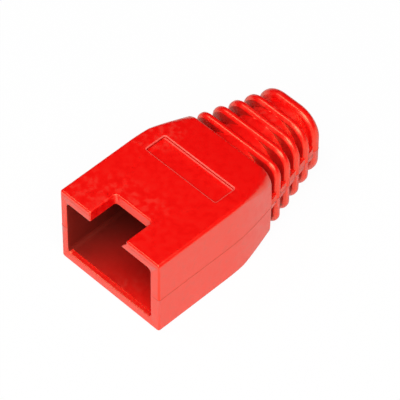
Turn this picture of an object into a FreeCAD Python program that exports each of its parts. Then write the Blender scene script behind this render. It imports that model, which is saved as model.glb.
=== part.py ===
"""Strain relief boot for a modular network plug, moulded in one piece of soft PVC.

The boot lies along Y: the plug mouth faces -Y and the cable leaves towards +Y.
Inside the body frame the mouth is the plane Y = 0 and the cable axis is the Y
axis, in the plane where the two halves of the mould meet. The placement of the
body then stands the boot on its flat base, with the origin under its middle.
All sizes are in millimetres.
"""
import FreeCAD, Part
import math
import os
import Sketcher

# Driving sizes: alias, value, meaning.
SIZES = (
    ("cavity_width", 11.8, "inside width of the plug socket"),
    ("cavity_height", 7.15, "inside height of the plug socket"),
    ("cavity_depth", 12.4, "depth of the plug socket from the mouth"),
    ("cavity_corner", 0.5, "corner radius of the plug socket"),
    ("core_shift", 0.16, "sideways shift of the mould's core, which shapes socket and notch"),
    ("side_wall", 1.05, "mean thickness of the side walls"),
    ("floor_wall", 1.45, "thickness of the floor"),
    ("roof_wall", 1.4, "thickness of the roof"),
    ("sill_step", 0.2, "height of the step in the socket's floor at the mouth"),
    ("sill_depth", 0.5, "mouth to the step in the socket's floor"),
    ("edge_radius", 0.35, "rounding along the straight body"),
    ("mouth_radius", 0.2, "rounding of the rim at the mouth"),
    ("axis_height", 4.85, "height of the cable axis above the base"),
    ("straight_length", 11.9, "mouth to the bend where the sides start to taper"),
    ("shoulder_length", 4.65, "bend to the rear face of the body"),
    ("shoulder_rear_width", 12.2, "width of the body at its rear face"),
    ("shoulder_rear_height", 9.6, "height of the body at its rear face"),
    ("shoulder_corner", 1.7, "corner radius of the body at its rear face"),
    ("shoulder_bevel", 0.2, "bevel round the rear face of the body"),
    ("notch_width", 5.05, "width of the latch notch"),
    ("notch_depth", 3.5, "depth of the latch notch from the mouth"),
    ("notch_corner", 0.35, "corner radius at the back of the latch notch"),
    ("notch_edge_radius", 0.18, "rounding of the latch notch's upper edge"),
    ("guide_width", 0.7, "reach of the guide into the latch notch, along the roof's lower side"),
    ("guide_height", 1.15, "height of the guide against the notch's side"),
    ("guide_depth", 0.6, "length of the guide along the boot"),
    ("label_width", 9.8, "width of the label recess"),
    ("label_length", 2.65, "length of the label recess along the boot"),
    ("label_depth", 0.35, "depth of the label recess"),
    ("label_corner", 0.2, "corner radius of the label recess"),
    ("label_start", 9.7, "mouth to the near edge of the label recess"),
    ("rib_count", 4, "number of thin ribs on the tail"),
    ("rib_thickness", 0.75, "thickness of each rib"),
    ("groove_width", 1.04, "width of the groove behind each rib"),
    ("neck_width", 0.85, "width of the groove between the body and the first rib"),
    ("rib_front_bevel", 0.3, "bevel of the front edge of the ribs and the collar"),
    ("rib_rear_bevel", 0.1, "bevel of the rear edge of the ribs"),
    ("collar_length", 1.18, "length of the collar that ends the tail"),
    ("collar_edge_radius", 0.6, "rounding of the collar where the cable leaves"),
    ("tail_height", 8.85, "height of the ribs and the collar"),
    ("tail_front_width", 12.1, "width of the tapered tail at the body"),
    ("tail_rear_width", 7.7, "width of the tapered tail at its end"),
    ("tail_front_corner", 1.5, "corner radius of the tapered tail at the body"),
    ("tail_rear_corner", 3.0, "corner radius of the tapered tail at its end"),
    ("core_front_width", 8.4, "width of the tail's core at the body"),
    ("core_front_height", 8.7, "height of the tail's core at the body"),
    ("core_rear_width", 6.4, "width of the tail's core at the collar"),
    ("core_rear_height", 8.0, "height of the tail's core at the collar"),
    ("core_flat", 0.2, "flat left between the core's corner roundings"),
    ("spine_height", 1.4, "height of the web that joins the ribs on each side"),
    ("spine_inset", 0.1, "depth of the web below the ribs' sides"),
    ("cable_bore", 5.6, "diameter of the cable hole"),
    ("funnel_width", 6.6, "diameter of the funnel where it leaves the plug socket"),
    ("bore_chamfer", 0.3, "lead-in at the cable end of the hole"),
)

# Places along the boot, from the mouth.
BODY_END = "(Sizes.straight_length + Sizes.shoulder_length)"
PITCH = "(Sizes.groove_width + Sizes.rib_thickness)"
RIBS_START = f"({BODY_END} + Sizes.neck_width)"
COLLAR_START = f"({RIBS_START} + {PITCH} * Sizes.rib_count)"
TAIL_END = f"({COLLAR_START} + Sizes.collar_length)"

# Sizes across the boot, from the cable axis.
HALF_WIDTH = "(Sizes.cavity_width / 2 + Sizes.side_wall)"
BASE = "Sizes.axis_height"
CAVITY_FLOOR = f"({BASE} - Sizes.floor_wall)"
CAVITY_ROOF = f"(Sizes.floor_wall + Sizes.cavity_height - {BASE})"
TOP = f"({CAVITY_ROOF} + Sizes.roof_wall)"

# Sketcher's numbers for the sketch origin and the ends of a line or an arc.
ORIGIN, START, END = -1, 1, 2
TOLERANCE = 1e-4


def make_sheet(doc):
    """Fill the spreadsheet with the driving sizes and their aliases."""
    sheet = doc.addObject("Spreadsheet::Sheet", "Sizes")
    for row, (alias, value, meaning) in enumerate(SIZES, start=1):
        sheet.set(f"A{row}", meaning)
        sheet.set(f"B{row}", str(value))
        sheet.setAlias(f"B{row}", alias)
    doc.recompute()
    return sheet


def add_sketch(body, name, plane, offset):
    """Add an empty sketch, parallel to an origin plane of the body and offset from it."""
    sketch = body.newObject("Sketcher::SketchObject", name)
    support = [item for item in body.Origin.OriginFeatures if item.Role == plane]
    sketch.AttachmentSupport = [(support[0], "")]
    sketch.MapMode = "FlatFace"
    sketch.setExpression("AttachmentOffset.Base.z", offset)
    return sketch


def bind(sketch, name, constraint, formula):
    """Add a named constraint whose value comes from the spreadsheet."""
    index = sketch.addConstraint(constraint)
    sketch.renameConstraint(index, name)
    sketch.setExpression(f"Constraints.{name}", formula)


def draw_polygon(sketch, corners):
    """Draw a closed polygon from its corners, each a pair of formulas."""
    first = sketch.GeometryCount
    count = len(corners)
    points = [
        FreeCAD.Vector(math.cos(math.tau * index / count), math.sin(math.tau * index / count), 0)
        for index in range(count)
    ]
    for index in range(count):
        edge = Part.LineSegment(points[index], points[(index + 1) % count])
        sketch.addGeometry(edge, False)
    for index, (across, along) in enumerate(corners):
        line = first + index
        following = first + (index + 1) % count
        sketch.addConstraint(Sketcher.Constraint("Coincident", line, END, following, START))
        point = points[index]
        distance = Sketcher.Constraint("DistanceX", ORIGIN, START, line, START, point.x)
        bind(sketch, f"x{line}", distance, across)
        distance = Sketcher.Constraint("DistanceY", ORIGIN, START, line, START, point.y)
        bind(sketch, f"y{line}", distance, along)


def draw_rounded_box(sketch, half_width, below, above, radius):
    """Draw a rectangle with equal corner arcs, centred across the boot.

    It reaches half_width to each side of the sketch's vertical axis, and from
    below its horizontal axis to above it.
    """
    side = 5.0
    bend = 1.0
    inner = side - bend
    first = sketch.GeometryCount

    def line(x1, y1, x2, y2):
        return Part.LineSegment(FreeCAD.Vector(x1, y1, 0), FreeCAD.Vector(x2, y2, 0))

    def corner(x, y, quarter):
        circle = Part.Circle(FreeCAD.Vector(x, y, 0), FreeCAD.Vector(0, 0, 1), bend)
        turn = math.pi / 2
        return Part.ArcOfCircle(circle, quarter * turn, (quarter + 1) * turn)

    # Anticlockwise from the lower edge, a corner after each line.
    outline = [
        line(-inner, -side, inner, -side),
        corner(inner, -inner, 3),
        line(side, -inner, side, inner),
        corner(inner, inner, 0),
        line(inner, side, -inner, side),
        corner(-inner, inner, 1),
        line(-side, inner, -side, -inner),
        corner(-inner, -inner, 2),
    ]
    sketch.addGeometry(outline, False)
    lower, right, upper, left = range(first, first + 8, 2)
    arcs = range(first + 1, first + 8, 2)
    for index in range(8):
        here = first + index
        following = first + (index + 1) % 8
        sketch.addConstraint(Sketcher.Constraint("Tangent", here, END, following, START))
    for level in (lower, upper):
        sketch.addConstraint(Sketcher.Constraint("Horizontal", level))
    for upright in (right, left):
        sketch.addConstraint(Sketcher.Constraint("Vertical", upright))
    for arc in arcs[1:]:
        sketch.addConstraint(Sketcher.Constraint("Equal", arcs[0], arc))
    bind(sketch, "radius", Sketcher.Constraint("Radius", arcs[0], bend), radius)
    distances = (
        ("right", "DistanceX", (ORIGIN, START, right, START), half_width),
        ("left", "DistanceX", (left, START, ORIGIN, START), half_width),
        ("above", "DistanceY", (ORIGIN, START, upper, START), above),
        ("below", "DistanceY", (lower, START, ORIGIN, START), below),
    )
    for name, kind, ends, formula in distances:
        bind(sketch, name, Sketcher.Constraint(kind, *ends, side), formula)


def add_cross_section(body, name, place, half_width, below, above, radius):
    """Add a rounded cross-section of the boot at a distance from the mouth.

    The normal of the XZ plane points towards the mouth, so the offset is negative.
    """
    sketch = add_sketch(body, name, "XZ_Plane", f"-{place}")
    draw_rounded_box(sketch, half_width, below, above, radius)
    return sketch


def shift_with_core(sketch):
    """Move a sketch sideways with the core of the mould."""
    sketch.setExpression("AttachmentOffset.Base.x", "-Sizes.core_shift")


def add_pad(body, name, sketch, length, midplane, towards_mouth=False):
    """Extrude a sketch to both sides, away from the mouth, or towards it."""
    pad = body.newObject("PartDesign::Pad", name)
    pad.Profile = sketch
    pad.Midplane = midplane
    pad.Reversed = not midplane and not towards_mouth
    pad.setExpression("Length", length)
    body.Document.recompute()
    return pad


def add_pocket(body, name, sketch, depth):
    """Cut a sketch into the body, against the sketch's normal, to a depth."""
    pocket = body.newObject("PartDesign::Pocket", name)
    pocket.Profile = sketch
    pocket.setExpression("Length", depth)
    body.Document.recompute()
    require_cut(pocket)
    return pocket


def require_cut(feature):
    """Stop if a feature that should cut the body left its volume as it was."""
    if feature.Shape.Volume >= feature.BaseFeature.Shape.Volume - TOLERANCE:
        raise RuntimeError(f"{feature.Name} cuts nothing")


def add_edge_finish(body, name, kind, size, wanted):
    """Fillet or chamfer the edges of the body's last feature that pass the wanted test."""
    base = body.Tip
    names = [
        f"Edge{index}"
        for index, edge in enumerate(base.Shape.Edges, start=1)
        if wanted(edge)
    ]
    if not names:
        raise RuntimeError(f"{name} finds no edges")
    finish = body.newObject(f"PartDesign::{kind}", name)
    finish.Base = (base, names)
    finish.setExpression("Radius" if kind == "Fillet" else "Size", size)
    body.Document.recompute()
    return finish


def lies_on(edge, shape):
    """Tell whether the middle of an edge lies on a sketch's outline."""
    middle = edge.valueAt((edge.FirstParameter + edge.LastParameter) / 2)
    return Part.Vertex(middle).distToShape(shape)[0] < TOLERANCE


def begins_body(body):
    """Make a test for the edges of the face that begins the body so far, nearest the mouth."""
    front = body.Tip.Shape.BoundBox.YMin
    return lambda edge: edge.BoundBox.YMax < front + TOLERANCE


def between(front, rear, place):
    """Size at a place of something that tapers from the body to the tail's end."""
    share = f"({place} - {BODY_END}) / ({TAIL_END} - {BODY_END})"
    return f"({front} - ({front} - {rear}) * {share})"


def add_tail_slice(body, name, rear, length, width, height, radius):
    """Add a slice of the tail in front of a place, centred on the cable axis."""
    outline = add_cross_section(
        body, f"{name}Outline", rear, f"{width} / 2", f"{height} / 2", f"{height} / 2", radius
    )
    add_pad(body, name, outline, length, False, towards_mouth=True)
    return outline


def add_core_slice(body, name, rear, length):
    """Add a slice of the tail's core that also fills the bevel of the disc behind it."""
    middle = f"({rear} - {length} / 2)"
    width = between("Sizes.core_front_width", "Sizes.core_rear_width", middle)
    height = between("Sizes.core_front_height", "Sizes.core_rear_height", middle)
    radius = f"(min({width}; {height}) - Sizes.core_flat) / 2"
    overlap = "Sizes.rib_front_bevel"
    add_tail_slice(
        body, name, f"({rear} + {overlap})", f"{length} + {overlap}", width, height, radius
    )


def add_disc(body, name, rear, length, rear_finish, rear_size):
    """Add a rib or the collar as wide and as round as the tail's taper makes it there."""
    middle = f"({rear} - {length} / 2)"
    outline = add_tail_slice(
        body, name, rear, length,
        between("Sizes.tail_front_width", "Sizes.tail_rear_width", middle),
        "Sizes.tail_height",
        between("Sizes.tail_front_corner", "Sizes.tail_rear_corner", middle),
    )
    add_edge_finish(
        body, f"{name}RearEdge", rear_finish, rear_size,
        lambda edge: lies_on(edge, outline.Shape),
    )
    add_edge_finish(
        body, f"{name}FrontEdge", "Chamfer", "Sizes.rib_front_bevel", begins_body(body)
    )


def add_tail(body, count):
    """Ribbed tail, from the end collar to the neck: thin ribs on a core, joined by spines."""
    add_disc(
        body, "Collar", TAIL_END, "Sizes.collar_length", "Fillet", "Sizes.collar_edge_radius"
    )
    for number in range(count, 0, -1):
        front = f"({RIBS_START} + {PITCH} * {number})"
        add_core_slice(body, f"Core{number}", front, "Sizes.groove_width")
        rear = f"({front} - Sizes.groove_width)"
        add_disc(body, f"Rib{number}", rear, "Sizes.rib_thickness", "Chamfer", "Sizes.rib_rear_bevel")
    add_core_slice(body, "Neck", RIBS_START, "Sizes.neck_width")
    add_spines(body)


def add_spines(body):
    """Web in the parting plane that joins the ribs along both sides."""
    sketch = add_sketch(body, "SpineOutline", "XY_Plane", "0")
    inset = "Sizes.spine_inset"
    front = f"(Sizes.tail_front_width / 2 - {inset})"
    width = between("Sizes.tail_front_width", "Sizes.tail_rear_width", COLLAR_START)
    rear = f"({width} / 2 - {inset})"
    draw_polygon(sketch, [
        (f"-{front}", BODY_END),
        (front, BODY_END),
        (rear, COLLAR_START),
        (f"-{rear}", COLLAR_START),
    ])
    add_pad(body, "Spines", sketch, "Sizes.spine_height", True)


def add_housing(body):
    """Shoulders that widen from the tail, then the straight body round the plug."""
    half_width = "Sizes.shoulder_rear_width / 2"
    half_height = "Sizes.shoulder_rear_height / 2"
    bevel = "Sizes.shoulder_bevel"
    rear = add_cross_section(
        body, "ShoulderRear", BODY_END, f"{half_width} - {bevel}",
        f"{half_height} - {bevel}", f"{half_height} - {bevel}",
        f"Sizes.shoulder_corner - {bevel}",
    )
    middle = add_cross_section(
        body, "ShoulderBevelStart", f"({BODY_END} - {bevel})", half_width,
        half_height, half_height, "Sizes.shoulder_corner",
    )
    front = add_cross_section(
        body, "ShoulderFront", "Sizes.straight_length", HALF_WIDTH, BASE, TOP,
        "Sizes.edge_radius",
    )
    shoulder = body.newObject("PartDesign::AdditiveLoft", "Shoulder")
    shoulder.Profile = rear
    shoulder.Sections = [middle, front]
    shoulder.Ruled = True
    body.Document.recompute()

    mouth = add_cross_section(
        body, "MouthOutline", "0", HALF_WIDTH, BASE, TOP, "Sizes.edge_radius"
    )
    add_pad(body, "StraightBody", mouth, "Sizes.straight_length", False)
    add_edge_finish(
        body, "MouthEdge", "Fillet", "Sizes.mouth_radius", lambda edge: lies_on(edge, mouth.Shape)
    )


def cut_socket(body):
    """Socket for the plug, with a low step in its floor at the mouth."""
    half = "Sizes.cavity_width / 2"
    socket = add_cross_section(
        body, "SocketOutline", "0", half, CAVITY_FLOOR, CAVITY_ROOF, "Sizes.cavity_corner"
    )
    shift_with_core(socket)
    add_pocket(body, "PlugSocket", socket, "Sizes.cavity_depth")
    sill = add_cross_section(
        body, "SillOutline", "0", half, f"{CAVITY_FLOOR} + Sizes.sill_step", CAVITY_ROOF,
        "Sizes.cavity_corner",
    )
    shift_with_core(sill)
    add_pocket(body, "MouthSill", sill, "Sizes.sill_depth")


def cut_cable_passage(body):
    """Funnel and cable hole, turned round the cable axis."""
    sketch = add_sketch(body, "PassageOutline", "XY_Plane", "0")
    radius = "Sizes.cable_bore / 2"
    flare = "Sizes.bore_chamfer"
    draw_polygon(sketch, [
        ("0", "Sizes.cavity_depth"),
        ("Sizes.funnel_width / 2", "Sizes.cavity_depth"),
        (radius, BODY_END),
        (radius, f"{TAIL_END} - {flare}"),
        (f"{radius} + {flare}", TAIL_END),
        ("0", TAIL_END),
    ])
    passage = body.newObject("PartDesign::Groove", "CablePassage")
    passage.Profile = sketch
    passage.ReferenceAxis = (sketch, ["V_Axis"])
    passage.Angle = 360
    body.Document.recompute()
    require_cut(passage)


def cut_roof(body):
    """Latch notch in the roof at the mouth, and the label recess behind it."""
    reach = "Sizes.notch_depth"
    half = "Sizes.notch_width / 2"
    notch = add_sketch(body, "NotchOutline", "XY_Plane", TOP)
    shift_with_core(notch)
    draw_rounded_box(notch, half, reach, reach, "Sizes.notch_corner")
    add_pocket(body, "LatchNotch", notch, "Sizes.roof_wall + Sizes.cavity_corner")
    add_edge_finish(
        body, "NotchEdge", "Fillet", "Sizes.notch_edge_radius",
        lambda edge: lies_on(edge, notch.Shape),
    )

    label = add_sketch(body, "LabelOutline", "XY_Plane", TOP)
    draw_rounded_box(
        label, "Sizes.label_width / 2", "-Sizes.label_start",
        "Sizes.label_start + Sizes.label_length", "Sizes.label_corner",
    )
    add_pocket(body, "LabelRecess", label, "Sizes.label_depth")


def add_latch_guide(body):
    """Small slanting guide on one side of the latch notch, flush with the mouth."""
    sketch = add_sketch(body, "GuideOutline", "XZ_Plane", "0")
    shift_with_core(sketch)
    wall = "Sizes.notch_width / 2"
    draw_polygon(sketch, [
        (f"({wall} - Sizes.guide_width)", CAVITY_ROOF),
        (f"({wall} + Sizes.notch_edge_radius)", CAVITY_ROOF),
        (f"({wall} + Sizes.notch_edge_radius)", f"({CAVITY_ROOF} + Sizes.guide_height)"),
    ])
    add_pad(body, "LatchGuide", sketch, "Sizes.guide_depth", False)


def make_boot(doc, sheet):
    """Build the boot as one body."""
    body = doc.addObject("PartDesign::Body", "Boot")
    body.Label = "boot"
    body.setExpression("Placement.Base.y", f"-{TAIL_END} / 2")
    body.setExpression("Placement.Base.z", "Sizes.axis_height")
    add_tail(body, int(sheet.rib_count))
    add_housing(body)
    cut_socket(body)
    cut_cable_passage(body)
    cut_roof(body)
    add_latch_guide(body)
    return body


def check(doc, bodies):
    """Stop if any object failed, or a body isn't one valid solid."""
    for item in doc.Objects:
        if "Invalid" in item.State or "Error" in item.State:
            raise RuntimeError(f"{item.Name}: {item.State}")
    for body in bodies:
        shape = body.Shape
        if shape.isNull() or not shape.isValid() or len(shape.Solids) != 1:
            raise RuntimeError(f"{body.Label} is not one valid solid")


doc = FreeCAD.newDocument("boot")
sheet = make_sheet(doc)
bodies = [make_boot(doc, sheet)]
doc.recompute()
check(doc, bodies)
os.makedirs("parts", exist_ok=True)
for body in bodies:
    body.Shape.exportStep(f"parts/{body.Label}.step")
    box = body.Shape.BoundBox
    print(body.Label, "size", round(box.XLength, 3), round(box.YLength, 3), round(box.ZLength, 3))
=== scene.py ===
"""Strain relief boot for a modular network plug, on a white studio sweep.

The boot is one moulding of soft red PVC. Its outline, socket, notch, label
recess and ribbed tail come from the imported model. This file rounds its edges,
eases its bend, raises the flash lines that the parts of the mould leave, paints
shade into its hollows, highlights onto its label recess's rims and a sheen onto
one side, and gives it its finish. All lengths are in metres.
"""
import enum
import logging
import math
from dataclasses import dataclass, field

import bmesh
import bpy
from mathutils import Matrix, Vector


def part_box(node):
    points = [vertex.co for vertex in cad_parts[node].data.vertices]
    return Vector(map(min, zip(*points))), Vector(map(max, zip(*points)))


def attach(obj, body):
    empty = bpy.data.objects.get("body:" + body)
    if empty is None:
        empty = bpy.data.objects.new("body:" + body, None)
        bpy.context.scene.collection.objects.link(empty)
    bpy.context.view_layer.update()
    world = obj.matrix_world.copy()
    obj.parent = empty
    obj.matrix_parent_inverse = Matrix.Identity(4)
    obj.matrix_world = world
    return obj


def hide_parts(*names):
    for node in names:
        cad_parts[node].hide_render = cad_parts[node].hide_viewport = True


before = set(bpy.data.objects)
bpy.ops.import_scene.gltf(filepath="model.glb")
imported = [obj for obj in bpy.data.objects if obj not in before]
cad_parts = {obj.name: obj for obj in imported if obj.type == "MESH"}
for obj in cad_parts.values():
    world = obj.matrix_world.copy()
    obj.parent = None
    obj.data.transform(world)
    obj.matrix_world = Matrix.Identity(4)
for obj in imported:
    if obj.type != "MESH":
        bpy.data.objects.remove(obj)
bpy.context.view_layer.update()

NODE = "boot"
BODY = "root"
MM = 0.001
CUT_TOLERANCE = 0.0001 * MM
WHITE = (1.0, 1.0, 1.0, 1.0)

# The moulding's marks: the flash lines on its points, and the places of painted
# shade and of painted highlight on the corners of its faces. Each runs from 0 to 1.
FLASH = "flash"
SHADE = "shade"
# Painted highlight: a pale tint on rounded rims where light would catch them.
PAINTED_HIGHLIGHT = "painted_highlight"

# The Mix node keeps sockets for every kind of value; these are its colours'.
MIX_COLOURS = slice(6, 8)
MIX_RESULT = 2

log = logging.getLogger("boot")

Colour = tuple[float, float, float]
Direction = tuple[float, float, float]
Span = tuple[float, float]


class Detail(enum.Enum):
    """How a noise pattern is layered."""

    SMOOTH = 0.0
    BROKEN = 3.0


class Facing(enum.Enum):
    """The axis that a cutting plane faces."""

    ALONG = (0.0, 1.0, 0.0)
    UP = (0.0, 0.0, 1.0)


class NodeBench:
    """A node tree with short ways to add, set and join its nodes."""

    def __init__(self, tree: bpy.types.NodeTree) -> None:
        """Take a tree and empty it.

        Args:
            tree: The node tree of a material or a world.
        """
        self.tree = tree
        tree.nodes.clear()

    def add(self, kind: str, **settings: object) -> bpy.types.Node:
        """Add a node.

        Args:
            kind: The node's type name without its "ShaderNode" start.
            settings: Properties of the node to set.

        Returns:
            The new node.
        """
        node = self.tree.nodes.new(f"ShaderNode{kind}")
        for name, value in settings.items():
            setattr(node, name, value)
        return node

    def feed(self, socket: bpy.types.NodeSocket, value: object) -> None:
        """Join another node's output to a socket, or set the socket's own value.

        Args:
            socket: The input to feed.
            value: An output socket, a number or a colour.
        """
        if isinstance(value, bpy.types.NodeSocket):
            self.tree.links.new(value, socket)
        else:
            socket.default_value = value

    def maths(
        self, operation: str, *values: object, clamp: bool = False
    ) -> bpy.types.NodeSocket:
        """Combine one to three numbers.

        Args:
            operation: The Math node's operation.
            values: Output sockets or numbers.
            clamp: Whether the result is held between 0 and 1.

        Returns:
            The result's socket.
        """
        node = self.add("Math", operation=operation, use_clamp=clamp)
        for socket, value in zip(node.inputs, values):
            self.feed(socket, value)
        return node.outputs[0]

    def noise(
        self, place: bpy.types.NodeSocket, grain: float, detail: Detail
    ) -> bpy.types.NodeSocket:
        """Add a noise pattern.

        Args:
            place: Where the pattern is read.
            grain: The size of its patches, in metres.
            detail: How it is layered.

        Returns:
            A number from 0 to 1, mostly near a half.
        """
        node = self.add("TexNoise")
        self.feed(node.inputs["Vector"], place)
        self.feed(node.inputs["Scale"], 1.0 / grain)
        self.feed(node.inputs["Detail"], detail.value)
        return node.outputs["Fac"]

    def ramp(
        self, value: bpy.types.NodeSocket, span: Span, result: Span = (0.0, 1.0)
    ) -> bpy.types.NodeSocket:
        """Turn a span of a number into another span, with soft ends.

        Args:
            value: The number.
            span: Its values at which the ramp starts and ends.
            result: The results there.

        Returns:
            The result's socket.
        """
        node = self.add("MapRange", interpolation_type="SMOOTHSTEP")
        for socket, item in zip(node.inputs, (value, *span, *result)):
            self.feed(socket, item)
        return node.outputs["Result"]

    def tint(
        self, share: bpy.types.NodeSocket, base: object, colour: object
    ) -> bpy.types.NodeSocket:
        """Mix a colour into another.

        Args:
            share: How much of the colour shows, from 0 to 1.
            base: The colour under it, as a socket or three numbers.
            colour: The colour to mix in, as a socket or three numbers.

        Returns:
            The mixed colour's socket.
        """
        node = self.add("Mix", data_type="RGBA")
        self.feed(node.inputs[0], share)
        for socket, value in zip(node.inputs[MIX_COLOURS], (base, colour)):
            self.feed(socket, (*value, 1.0) if isinstance(value, tuple) else value)
        return node.outputs[MIX_RESULT]

    def mark(self, name: str) -> bpy.types.NodeSocket:
        """Read one of the moulding's marks.

        Args:
            name: The mark's name.

        Returns:
            The mark's share, from 0 to 1.
        """
        return self.add("Attribute", attribute_name=name).outputs["Fac"]

    def bump(
        self, height: bpy.types.NodeSocket, depth: float, under: bpy.types.NodeSocket | None = None
    ) -> bpy.types.NodeSocket:
        """Turn a height pattern into a normal.

        Args:
            height: A number from 0 to 1.
            depth: The height, in metres, that 1 stands for.
            under: The normal that it is laid over, if any.

        Returns:
            The normal's socket.
        """
        node = self.add("Bump")
        self.feed(node.inputs["Distance"], depth)
        self.feed(node.inputs["Height"], height)
        if under is not None:
            self.feed(node.inputs["Normal"], under)
        return node.outputs["Normal"]


@dataclass(frozen=True)
class SoftPvc:
    """Soft moulded PVC: matt red, with a slight sheen, faint mottling and painted sheen,
    highlights and shade.

    Attributes:
        colour: The red of the plain surface.
        deep: The darker red of the mottling.
        deep_span: The mottling's values from which it turns dark.
        deep_share: How much of the darker red shows at most.
        bloom_and_sheen: The pale bloom, partly a painted sheen, towards the boot's left.
        bloom_and_sheen_span: The mottling's values from which the bloom and painted sheen show.
        bloom_and_sheen_share: How much of it shows at most.
        flash: The colour that gathers on the flash lines.
        flash_share: How much of it shows there.
        painted_rim_highlight: The pale red painted on rounded rims as a highlight.
        inside: The brown of shaded hollows.
        inside_share: How much of it shows in full shade.
        mottle_grain: The size of the mottling.
        patch_grain: The size of the patches that carry the bloom and painted sheen.
        patch_span: The pattern's values from which a patch starts.
        sheen_side: The places across the boot between which the bloom and painted sheen come in.
        sink_grain: The size of the soft dents.
        sink_depth: Their depth.
        spark_grain: The size of the fine grain.
        spark_depth: Its depth.
        roughness: The lowest and the highest roughness.
        roughness_span: The mottling's values for them.
        glow_weight: How much light scatters under the surface.
        glow_reach: How far it goes.
        glow_spread: How far each colour goes, as shares of that.
        refraction: The index of refraction.
        sheen: The strength of reflections, in the open and in full shade.
        sheen_tint: Their colour.
    """

    colour: Colour = (0.92, 0.001, 0.002)
    deep: Colour = (0.74, 0.001, 0.001)
    deep_span: Span = (0.50, 0.25)
    deep_share: float = 0.35
    bloom_and_sheen: Colour = (0.92, 0.060, 0.040)
    bloom_and_sheen_span: Span = (0.46, 0.68)
    bloom_and_sheen_share: float = 0.32
    flash: Colour = (0.30, 0.015, 0.01)
    flash_share: float = 0.75
    painted_rim_highlight: Colour = (0.95, 0.15, 0.12)
    inside: Colour = (0.045, 0.014, 0.009)
    inside_share: float = 0.95
    mottle_grain: float = 0.7 * MM
    patch_grain: float = 7.0 * MM
    patch_span: Span = (0.40, 0.55)
    sheen_side: Span = (4.5 * MM, 0.5 * MM)
    sink_grain: float = 1.3 * MM
    sink_depth: float = 0.012 * MM
    spark_grain: float = 0.14 * MM
    spark_depth: float = 0.003 * MM
    roughness: Span = (0.30, 0.38)
    roughness_span: Span = (0.3, 0.7)
    glow_weight: float = 0.03
    glow_reach: float = 0.4 * MM
    glow_spread: Colour = (1.0, 0.12, 0.06)
    refraction: float = 1.55
    sheen: Span = (0.9, 0.3)
    sheen_tint: Colour = (1.0, 0.90, 0.48)

    def make(self) -> bpy.types.Material:
        """Make the material.

        Returns:
            The finished material.
        """
        material = bpy.data.materials.new("soft_pvc_red")
        material.use_nodes = True
        bench = NodeBench(material.node_tree)
        place = bench.add("TexCoord").outputs["Object"]
        mottle = bench.noise(place, self.mottle_grain, Detail.BROKEN)
        shade = bench.mark(SHADE)
        surface = bench.add("BsdfPrincipled")
        bench.feed(surface.inputs["Base Color"], self.base(bench, place, mottle, shade))
        roughness = bench.ramp(mottle, self.roughness_span, self.roughness)
        bench.feed(surface.inputs["Roughness"], roughness)
        bench.feed(surface.inputs["Normal"], self.relief(bench, place))
        bench.feed(surface.inputs["Specular IOR Level"], bench.ramp(shade, (0.0, 1.0), self.sheen))
        surface.inputs["IOR"].default_value = self.refraction
        surface.inputs["Specular Tint"].default_value = (*self.sheen_tint, 1.0)
        surface.inputs["Subsurface Weight"].default_value = self.glow_weight
        surface.inputs["Subsurface Radius"].default_value = self.glow_spread
        surface.inputs["Subsurface Scale"].default_value = self.glow_reach
        bench.feed(bench.add("OutputMaterial").inputs["Surface"], surface.outputs["BSDF"])
        return material

    def base(
        self,
        bench: NodeBench,
        place: bpy.types.NodeSocket,
        mottle: bpy.types.NodeSocket,
        shade: bpy.types.NodeSocket,
    ) -> bpy.types.NodeSocket:
        """Mix the mottled red with the bloom and the moulding's marks.

        Args:
            bench: The material's nodes.
            place: Where the patterns are read.
            mottle: The mottling's pattern.
            shade: The shade's mark.

        Returns:
            The colour's socket.
        """
        # Pale bloom, partly painted sheen, in patches towards the boot's left.
        patches = bench.ramp(bench.noise(place, self.patch_grain, Detail.SMOOTH), self.patch_span)
        across = bench.add("SeparateXYZ")
        bench.feed(across.inputs[0], place)
        on_sheen_side = bench.ramp(across.outputs["X"], self.sheen_side)
        patches = bench.maths("MULTIPLY", patches, on_sheen_side)
        pale = bench.ramp(mottle, self.bloom_and_sheen_span, (0.0, self.bloom_and_sheen_share))
        dark = bench.ramp(mottle, self.deep_span, (0.0, self.deep_share))
        colour = bench.tint(dark, self.colour, self.deep)
        colour = bench.tint(bench.maths("MULTIPLY", patches, pale), colour, self.bloom_and_sheen)
        # Painted highlight on the marked rims.
        colour = bench.tint(bench.mark(PAINTED_HIGHLIGHT), colour, self.painted_rim_highlight)
        shade = bench.maths("MULTIPLY", shade, self.inside_share)
        colour = bench.tint(shade, colour, self.inside)
        flash = bench.maths("MULTIPLY", bench.mark(FLASH), self.flash_share)
        return bench.tint(flash, colour, self.flash)

    def relief(self, bench: NodeBench, place: bpy.types.NodeSocket) -> bpy.types.NodeSocket:
        """Lay the fine grain over the soft dents.

        Args:
            bench: The material's nodes.
            place: Where the patterns are read.

        Returns:
            The normal's socket.
        """
        sinks = bench.noise(place, self.sink_grain, Detail.SMOOTH)
        sparks = bench.noise(place, self.spark_grain, Detail.BROKEN)
        return bench.bump(sparks, self.spark_depth, bench.bump(sinks, self.sink_depth))


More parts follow.
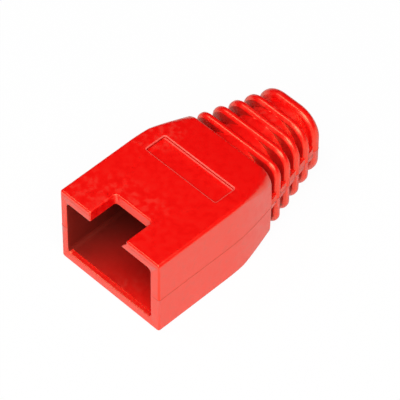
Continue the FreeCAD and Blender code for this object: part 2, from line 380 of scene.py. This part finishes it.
@dataclass(frozen=True)
class WhiteSweep:
    """Matt white board that reads as white to the camera and still takes a soft shadow.

    Attributes:
        colour: The board's colour under the lamps.
        shown: How much of plain white shows in place of it, to the eye and in mirrors.
    """

    colour: Colour = (0.88, 0.88, 0.88)
    shown: float = 0.96

    def make(self) -> bpy.types.Material:
        """Make the material.

        Returns:
            The finished material.
        """
        material = bpy.data.materials.new("white_sweep")
        material.use_nodes = True
        bench = NodeBench(material.node_tree)
        rays = bench.add("LightPath").outputs
        seen = bench.maths("ADD", rays["Is Camera Ray"], rays["Is Glossy Ray"], clamp=True)
        seen = bench.maths("ADD", seen, rays["Is Transmission Ray"], clamp=True)
        board = bench.add("BsdfDiffuse")
        board.inputs["Color"].default_value = (*self.colour, 1.0)
        glow = bench.add("Emission")
        glow.inputs["Color"].default_value = WHITE
        glow.inputs["Strength"].default_value = 1.0
        mix = bench.add("MixShader")
        bench.feed(mix.inputs[0], bench.maths("MULTIPLY", seen, self.shown))
        bench.feed(mix.inputs[1], board.outputs[0])
        bench.feed(mix.inputs[2], glow.outputs[0])
        bench.feed(bench.add("OutputMaterial").inputs["Surface"], mix.outputs[0])
        return material


def cut(
    shell: bmesh.types.BMesh, facing: Facing, place: float, parts: list | None = None
) -> dict[str, list]:
    """Cut a mesh with a plane.

    Args:
        shell: The mesh.
        facing: The axis that the plane faces.
        place: The plane's place along that axis.
        parts: The points, edges and faces to cut, or None for all of them.

    Returns:
        All the parts after the cut as "geom", and those on the plane as "geom_cut".
    """
    way = Vector(facing.value)
    return bmesh.ops.bisect_plane(
        shell,
        geom=[*shell.verts, *shell.edges, *shell.faces] if parts is None else parts,
        dist=CUT_TOLERANCE,
        plane_co=way * place,
        plane_no=way,
    )


def mark_face(face: bmesh.types.BMFace, layer: bmesh.types.BMLayerItem, share: float) -> None:
    """Give every corner of a face the same share of a mark.

    Args:
        face: The face.
        layer: The mark's layer.
        share: The share, from 0 to 1.
    """
    for corner in face.loops:
        corner[layer] = share


@dataclass(frozen=True)
class Zone:
    """A stretch of the boot, the same on the left and the right.

    Attributes:
        inner: Its least distance from the middle.
        outer: Its greatest distance from the middle.
        front: Its start along Y.
        rear: Its end along Y.
    """

    inner: float
    outer: float
    front: float
    rear: float

    def holds(self, point: Vector) -> bool:
        """Tell whether a point lies in the zone.

        Args:
            point: A point of the moulding.

        Returns:
            True if it does.
        """
        return self.inner <= abs(point.x) <= self.outer and self.front <= point.y <= self.rear


@dataclass(frozen=True)
class FlashLine:
    """Thin ridge left on a moulding where two parts of its mould meet.

    Attributes:
        height: The height that it lies at.
        half_width: Half of its width.
        rise: How far it stands out.
        zones: Where the moulding carries it.
    """

    height: float
    half_width: float
    rise: float
    zones: tuple[Zone, ...]

    def raise_on(self, shell: bmesh.types.BMesh) -> int:
        """Cut the ridge's three lines round the moulding and lift the middle one.

        Args:
            shell: The moulding's mesh, with a "flash" layer on its points.

        Returns:
            The number of points lifted.
        """
        crest: list[bmesh.types.BMVert] = []
        for shift in (-self.half_width, self.half_width, 0.0):
            line = cut(shell, Facing.UP, self.height + shift)["geom_cut"]
            crest = [item for item in line if isinstance(item, bmesh.types.BMVert)]
        shell.normal_update()
        mark = shell.verts.layers.float[FLASH]
        lifted = [vert for vert in crest if any(zone.holds(vert.co) for zone in self.zones)]
        ways = [Vector((vert.normal.x, vert.normal.y, 0.0)) for vert in lifted]
        for vert, way in zip(lifted, ways):
            vert[mark] = 1.0
            vert.co += way.normalized() * self.rise
        return len(lifted)


@dataclass(frozen=True)
class Bend:
    """The bend where the straight body turns into the shoulders, eased into a curve.

    Attributes:
        place: The bend's distance from the mouth.
        reach: How far the curve goes to either side of it.
        steps: The number of facets on either side.
        side_slope: How steeply the sides draw in behind the bend.
        roof_slope: How steeply the roof falls behind it.
        side_from: The distance from the middle at which the sides start.
        roof_from: The height at which the roof starts.
    """

    place: float = 11.9 * MM
    reach: float = 2.4 * MM
    steps: int = 6
    side_slope: float = 0.183
    roof_slope: float = 0.075
    side_from: float = 6.3 * MM
    roof_from: float = 9.3 * MM

    def ease(self, shell: bmesh.types.BMesh, mouth: float) -> None:
        """Cut the walls across the bend and draw them in along a parabola.

        Args:
            shell: The moulding's mesh.
            mouth: The place of the boot's mouth along Y.
        """
        middle = mouth + self.place
        for step in range(-self.steps, self.steps + 1):
            cut(shell, Facing.ALONG, middle + self.reach * step / self.steps)
        for vert in shell.verts:
            near = self.reach - abs(vert.co.y - middle)
            if near <= 0.0:
                continue
            drop = near ** 2 / (4.0 * self.reach)
            if abs(vert.co.x) > self.side_from:
                vert.co.x -= math.copysign(self.side_slope * drop, vert.co.x)
            if vert.co.z > self.roof_from:
                vert.co.z -= self.roof_slope * drop


@dataclass(frozen=True)
class PlugSocket:
    """The plug socket and the cable's passage, which lie in their own shade.

    Attributes:
        half_width: Half of the width that takes in the socket and its side walls.
        low: The height from which a point belongs to it.
        high: The height up to which a point belongs to it.
        depth: The depth up to which a point belongs to the socket.
        step: The distance between the cuts that carry the shade.
        sill_top: The height up to which a point belongs to the sill.
        sill_shade: The share of shade on the sill.
        near_left: The share of shade at the left of the mouth.
        near_right: The share of shade at the right of the mouth.
        passage: The radius that takes in the cable's passage.
        axis_height: The height of the passage's axis.
        fade: The length of the passage's shade, as a share of the depth.
    """

    half_width: float = 6.1 * MM
    low: float = 1.1 * MM
    high: float = 8.7 * MM
    depth: float = 12.6 * MM
    step: float = 0.8 * MM
    sill_top: float = 1.4 * MM
    sill_shade: float = 0.25
    near_left: float = 0.87
    near_right: float = 0.0
    passage: float = 3.1 * MM
    axis_height: float = 4.85 * MM
    fade: float = 1.05

    def darken(self, shell: bmesh.types.BMesh, mouth: float) -> None:
        """Cut the socket's walls across and shade their corners by depth.

        Args:
            shell: The moulding's mesh, with its "shade" layer.
            mouth: The place of the boot's mouth along Y.
        """
        inner = [
            face
            for face in shell.faces
            if all(self.shade_at(vert.co, mouth) is not None for vert in face.verts)
        ]
        for step in range(1, int(self.depth / self.step)):
            edges = dict.fromkeys(edge for face in inner for edge in face.edges)
            verts = dict.fromkeys(vert for face in inner for vert in face.verts)
            parts = [*inner, *edges, *verts]
            walls = cut(shell, Facing.ALONG, mouth + step * self.step, parts)["geom"]
            inner = [item for item in walls if isinstance(item, bmesh.types.BMFace)]
        layer = shell.loops.layers.float[SHADE]
        for face in shell.faces:
            shares = [self.shade_at(corner.vert.co, mouth) for corner in face.loops]
            if None not in shares:
                for corner, share in zip(face.loops, shares):
                    corner[layer] = share

    def shade_at(self, point: Vector, mouth: float) -> float | None:
        """Tell how much shade a point of the socket or the passage lies in.

        Args:
            point: A point of the moulding.
            mouth: The place of the boot's mouth along Y.

        Returns:
            The share of shade, which is 1 at the socket's back and falls towards
            the mouth and the cable's exit, or None outside the two.
        """
        deep = (point.y - mouth) / self.depth
        if deep > 1.0:
            off_axis = math.hypot(point.x, point.z - self.axis_height)
            return max(1.0 - (deep - 1.0) / self.fade, 0.0) if off_axis < self.passage else None
        if abs(point.x) > self.half_width or not self.low < point.z < self.high:
            return None
        if point.z < self.sill_top:
            return self.sill_shade
        aside = 0.5 - 0.5 * point.x / self.half_width
        start = self.near_right + (self.near_left - self.near_right) * aside
        return start + (1.0 - start) * max(deep, 0.0)


@dataclass(frozen=True)
class LabelRecess:
    """The shallow label recess, with painted highlights on its rims and painted shade on its
    walls.

    Attributes:
        zone: The stretch that takes it in, with Y measured from the mouth.
        low: The height from which a face belongs to it.
        floor_top: The height up to which a level face belongs to its floor.
        level: The least upward slant of a level face.
        steep: The greatest upward slant of a wall.
        far_side: The distance from the mouth at which its far side starts.
        foot_width: The width of the strip of painted highlight along the foot of the far wall.
        wall_shade: The share of shade on its walls.
        far_painted_highlight: How strong the painted highlight on the far rim is.
        near_painted_highlight: How strong the painted highlight on the other rims is.
        foot_painted_highlight: How strong the painted highlight on the strip at the far wall's
            foot is.
    """

    zone: Zone = Zone(inner=0.0, outer=5.1 * MM, front=9.4 * MM, rear=12.7 * MM)
    low: float = 9.4 * MM
    floor_top: float = 9.8 * MM
    level: float = 0.99
    steep: float = 0.3
    far_side: float = 12.0 * MM
    foot_width: float = 0.16 * MM
    wall_shade: float = 0.55
    far_painted_highlight: float = 0.85
    near_painted_highlight: float = 0.8
    foot_painted_highlight: float = 0.6

    def dress(
        self, shell: bmesh.types.BMesh, mouth: float, rounded: list[bmesh.types.BMFace]
    ) -> None:
        """Paint highlights on the rims and along the foot of the far wall, and paint shade on the
        walls.

        Args:
            shell: The moulding's mesh, with its layers of painted highlight and painted shade.
            mouth: The place of the boot's mouth along Y.
            rounded: The faces of the rounded edges.
        """
        painted_highlight = shell.loops.layers.float[PAINTED_HIGHLIGHT]
        shade = shell.loops.layers.float[SHADE]
        rims = {face for face in rounded if self.holds(face, mouth)}
        rest = [face for face in shell.faces if face not in rims and self.holds(face, mouth)]
        floor = [
            face
            for face in rest
            if face.normal.z > self.level and face.calc_center_median().z < self.floor_top
        ]
        for face in rest:
            if abs(face.normal.z) < self.steep:
                mark_face(face, shade, self.wall_shade)
        # Painted highlights on the rims, then on the strip at the far wall's foot.
        for face in rims:
            mark_face(face, painted_highlight, self.far_painted_highlight if self.is_far(face, mouth) else self.near_painted_highlight)
        ring = bmesh.ops.inset_region(
            shell, faces=floor, thickness=self.foot_width, use_even_offset=True
        )
        for face in ring["faces"]:
            if self.is_far(face, mouth):
                mark_face(face, painted_highlight, self.foot_painted_highlight)

    def is_far(self, face: bmesh.types.BMFace, mouth: float) -> bool:
        """Tell whether a face lies at the recess's far side.

        Args:
            face: A face of the recess.
            mouth: The place of the boot's mouth along Y.

        Returns:
            True if it does.
        """
        return face.calc_center_median().y - mouth > self.far_side

    def holds(self, face: bmesh.types.BMFace, mouth: float) -> bool:
        """Tell whether a face belongs to the recess.

        Args:
            face: A face of the moulding.
            mouth: The place of the boot's mouth along Y.

        Returns:
            True if it does.
        """
        start = Vector((0.0, mouth, 0.0))
        return all(
            vert.co.z > self.low and self.zone.holds(vert.co - start) for vert in face.verts
        )


@dataclass(frozen=True)
class RibFlanks:
    """The flanks of the tail's ribs, which stay in the shade of their grooves.

    Attributes:
        start: The distance from the mouth at which the ribs start.
        end: The distance at which they end.
        upright: The least slant along the boot of a flank.
        share: The share of shade on a flank.
    """

    start: float = 15.9 * MM
    end: float = 24.4 * MM
    upright: float = 0.9
    share: float = 0.45

    def darken(self, shell: bmesh.types.BMesh, mouth: float) -> None:
        """Shade the flanks.

        Args:
            shell: The moulding's mesh, with its "shade" layer.
            mouth: The place of the boot's mouth along Y.
        """
        shade = shell.loops.layers.float[SHADE]
        for face in shell.faces:
            along = face.calc_center_median().y - mouth
            if self.start < along < self.end and abs(face.normal.y) > self.upright:
                mark_face(face, shade, self.share)


@dataclass(frozen=True)
class Moulding:
    """The boot itself, with its edges rounded, its hollows shaded and its flash lines raised.

    Attributes:
        finish: The material.
        socket: The plug socket and the passage behind it.
        label: The label recess.
        ribs: The flanks of the ribs.
        bend: The bend between the body and the shoulders.
        weld: The distance within which points are joined.
        flat_angle: The angle within which faces are joined into one.
        most_corners: The number of corners above which a face is cut into triangles.
        edge_angles: The angles between which an outward edge is rounded.
        edge_round: The width of the rounding.
        edge_steps: The number of facets in it.
        edge_profile: Its form, where a half is a circle's arc.
        sill: The sill at the mouth, whose edges stay sharp.
        smooth_angle: The angle from which an edge is shaded as a sharp one.
        flash_lines: The parting line of the two halves, and that of the ears' fronts.
    """

    finish: SoftPvc = field(default_factory=SoftPvc)
    socket: PlugSocket = field(default_factory=PlugSocket)
    label: LabelRecess = field(default_factory=LabelRecess)
    ribs: RibFlanks = field(default_factory=RibFlanks)
    bend: Bend = field(default_factory=Bend)
    weld: float = 0.0005 * MM
    flat_angle: float = math.radians(0.2)
    most_corners: int = 4
    edge_angles: Span = (math.radians(38.0), math.radians(110.0))
    edge_round: float = 0.11 * MM
    edge_steps: int = 2
    edge_profile: float = 0.5
    sill: Zone = Zone(inner=0.0, outer=7.0 * MM, front=-12.6 * MM, rear=-12.3 * MM)
    smooth_angle: float = math.radians(37.0)
    flash_lines: tuple[FlashLine, ...] = (
        FlashLine(
            height=4.8 * MM,
            half_width=0.05 * MM,
            rise=0.03 * MM,
            zones=(
                Zone(inner=6.1 * MM, outer=7.0 * MM, front=-13.0 * MM, rear=-0.4 * MM),
                Zone(inner=3.1 * MM, outer=7.0 * MM, front=-0.4 * MM, rear=13.0 * MM),
            ),
        ),
        FlashLine(
            height=9.45 * MM,
            half_width=0.04 * MM,
            rise=0.02 * MM,
            zones=(Zone(inner=2.5 * MM, outer=6.6 * MM, front=-13.0 * MM, rear=-12.8 * MM),),
        ),
    )

    def build(self) -> bpy.types.Object:
        """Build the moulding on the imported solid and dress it.

        Returns:
            The finished object.
        """
        shell = bmesh.new()
        shell.from_mesh(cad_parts[NODE].data)
        lifted = self.form(shell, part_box(NODE)[0].y)
        flat = self.flat_points(shell)
        mesh = bpy.data.meshes.new("boot_moulding")
        shell.to_mesh(mesh)
        shell.free()
        log.info("moulding: %d faces, %d points on its flash lines", len(mesh.polygons), lifted)
        piece = bpy.data.objects.new("boot_moulding", mesh)
        bpy.context.collection.objects.link(piece)
        mesh.materials.clear()
        mesh.materials.append(self.finish.make())
        walls = piece.vertex_groups.new(name="flat_walls")
        walls.add(flat, 1.0, "REPLACE")
        blend = piece.modifiers.new("even_shading", "WEIGHTED_NORMAL")
        blend.keep_sharp = True
        blend.vertex_group = walls.name
        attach(piece, BODY)
        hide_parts(NODE)
        return piece

    def form(self, shell: bmesh.types.BMesh, mouth: float) -> int:
        """Turn the solid's mesh into the moulding's and lay its marks.

        Args:
            shell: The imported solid's mesh.
            mouth: The place of the boot's mouth along Y.

        Returns:
            The number of points on the flash lines.
        """
        bmesh.ops.remove_doubles(shell, verts=shell.verts, dist=self.weld)
        bmesh.ops.dissolve_limit(
            shell,
            angle_limit=self.flat_angle,
            verts=shell.verts,
            edges=shell.edges,
            delimit={"NORMAL"},
        )
        wide = [face for face in shell.faces if len(face.verts) > self.most_corners]
        bmesh.ops.triangulate(shell, faces=wide)
        for name in (SHADE, PAINTED_HIGHLIGHT):
            shell.loops.layers.float.new(name)
        self.label.dress(shell, mouth, self.round_edges(shell))
        self.ribs.darken(shell, mouth)
        self.bend.ease(shell, mouth)
        self.socket.darken(shell, mouth)
        shell.verts.layers.float.new(FLASH)
        lifted = sum(line.raise_on(shell) for line in self.flash_lines)
        self.smooth(shell)
        return lifted

    def round_edges(self, shell: bmesh.types.BMesh) -> list[bmesh.types.BMFace]:
        """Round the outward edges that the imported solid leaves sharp.

        Args:
            shell: The moulding's mesh.

        Returns:
            The faces of the roundings.
        """
        least, most = self.edge_angles
        sharp = [
            edge
            for edge in shell.edges
            if edge.is_manifold
            and edge.is_convex
            and least < edge.calc_face_angle() < most
            and not all(self.sill.holds(vert.co) for vert in edge.verts)
        ]
        rounding = bmesh.ops.bevel(
            shell,
            geom=sharp,
            offset=self.edge_round,
            offset_type="OFFSET",
            segments=self.edge_steps,
            profile=self.edge_profile,
            affect="EDGES",
            clamp_overlap=False,
            material=-1,
        )
        return rounding["faces"]

    @staticmethod
    def flat_points(shell: bmesh.types.BMesh) -> list[int]:
        """Find the points that lie on no sharp inward edge.

        Args:
            shell: The moulding's mesh.

        Returns:
            Their numbers.
        """
        shell.verts.index_update()
        return [
            vert.index
            for vert in shell.verts
            if all(edge.is_convex or edge.smooth for edge in vert.link_edges)
        ]

    def smooth(self, shell: bmesh.types.BMesh) -> None:
        """Shade the rounded places smoothly and keep the sharp edges.

        Args:
            shell: The moulding's mesh.
        """
        for face in shell.faces:
            face.smooth = True
        for edge in shell.edges:
            edge.smooth = edge.is_manifold and edge.calc_face_angle(math.pi) < self.smooth_angle


@dataclass(frozen=True)
class Softbox:
    """A square soft lamp that faces the boot.

    Attributes:
        name: The lamp's name.
        direction: The way from the boot to the lamp.
        side: The length of its side.
        distance: How far it stands off.
        radiance: How bright its face is.
    """

    name: str
    direction: Direction
    side: float
    distance: float
    radiance: float

    def build(self, target: Vector) -> bpy.types.Object:
        """Place the lamp.

        Args:
            target: The point that it faces.

        Returns:
            The lamp's object.
        """
        lamp = bpy.data.lights.new(self.name, "AREA")
        lamp.shape = "SQUARE"
        lamp.size = self.side
        lamp.energy = self.radiance * math.pi * self.side ** 2
        stand = bpy.data.objects.new(self.name, lamp)
        way = Vector(self.direction).normalized()
        stand.location = target + way * self.distance
        stand.rotation_euler = way.to_track_quat("Z", "Y").to_euler()
        bpy.context.collection.objects.link(stand)
        return stand


@dataclass(frozen=True)
class Studio:
    """White board, soft lamps and a dim room.

    Attributes:
        board_side: The length of the board's side.
        room: The brightness of the room around it.
        board: The board's material.
        lamps: The soft lamps.
    """

    board_side: float = 3.0
    room: float = 0.015
    board: WhiteSweep = field(default_factory=WhiteSweep)
    lamps: tuple[Softbox, ...] = (
        Softbox("main_softbox", (0.38, -0.40, 0.83), 0.50, 0.6, 5.5),
        Softbox("front_softbox", (0.15, -0.92, 0.35), 0.35, 0.6, 0.9),
        Softbox("rim_softbox", (-0.46, -0.25, 0.85), 0.16, 0.6, 8.0),
        Softbox("right_softbox", (0.80, -0.45, 0.45), 0.40, 0.6, 0.8),
    )

    def build(self, target: Vector) -> None:
        """Build the board, the lamps and the room's dim light.

        Args:
            target: The point that the lamps face.
        """
        plate = bmesh.new()
        bmesh.ops.create_grid(plate, x_segments=1, y_segments=1, size=self.board_side / 2)
        mesh = bpy.data.meshes.new("studio_board")
        plate.to_mesh(mesh)
        plate.free()
        mesh.materials.append(self.board.make())
        board = bpy.data.objects.new("studio_board", mesh)
        bpy.context.collection.objects.link(board)
        for lamp in self.lamps:
            lamp.build(target)
        world = bpy.data.worlds.new("studio_room")
        bpy.context.scene.world = world
        world.use_nodes = True
        bench = NodeBench(world.node_tree)
        air = bench.add("Background")
        air.inputs["Color"].default_value = WHITE
        air.inputs["Strength"].default_value = self.room
        bench.feed(bench.add("OutputWorld").inputs["Surface"], air.outputs[0])
        log.info("studio: board %.1f m, %d lamps", self.board_side, len(self.lamps))


@dataclass(frozen=True)
class Camera:
    """Product camera that looks down on the mouth and the right side.

    Attributes:
        azimuth: Its turn from the boot's axis to the right.
        elevation: Its height over the board, as an angle.
        roll: Its turn about its own axis.
        distance: Its distance from the point that it faces.
        ahead: That point's distance from the mouth.
        height: That point's height.
        lens: The lens's length, in millimetres.
        shift: The lens's shift, as shares of the frame.
        clip: The nearest and the farthest distance that it sees.
    """

    azimuth: float = math.radians(45.0)
    elevation: float = math.radians(49.0)
    roll: float = math.radians(0.5)
    distance: float = 0.320
    ahead: float = 12.0 * MM
    height: float = 5.0 * MM
    lens: float = 288.6
    shift: Span = (0.00825, -0.009)
    clip: Span = (0.01, 20.0)

    def build(self, mouth: float) -> bpy.types.Object:
        """Place the camera and make it the scene's.

        Args:
            mouth: The place of the boot's mouth along Y.

        Returns:
            The camera's object.
        """
        cos_az, sin_az = math.cos(self.azimuth), math.sin(self.azimuth)
        cos_el, sin_el = math.cos(self.elevation), math.sin(self.elevation)
        back = Vector((sin_az * cos_el, -cos_az * cos_el, sin_el))
        right = Vector((cos_az, sin_az, 0.0))
        up = back.cross(right)
        cos_roll, sin_roll = math.cos(self.roll), math.sin(self.roll)
        level = right * cos_roll + up * sin_roll
        upright = up * cos_roll - right * sin_roll
        data = bpy.data.cameras.new("product_camera")
        data.lens = self.lens
        data.shift_x, data.shift_y = self.shift
        data.clip_start, data.clip_end = self.clip
        camera = bpy.data.objects.new("product_camera", data)
        camera.matrix_world = Matrix((level, upright, back)).transposed().to_4x4()
        camera.location = Vector((0.0, mouth + self.ahead, self.height)) + back * self.distance
        bpy.context.collection.objects.link(camera)
        bpy.context.scene.camera = camera
        return camera


def main() -> None:
    """Build the boot, the studio and the camera."""
    logging.basicConfig(level=logging.INFO, format="%(name)s: %(message)s")
    low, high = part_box(NODE)
    Moulding().build()
    Studio().build((low + high) / 2)
    Camera().build(low.y)
    bpy.context.scene.view_settings.view_transform = "Standard"


if __name__ == "__main__":
    main()
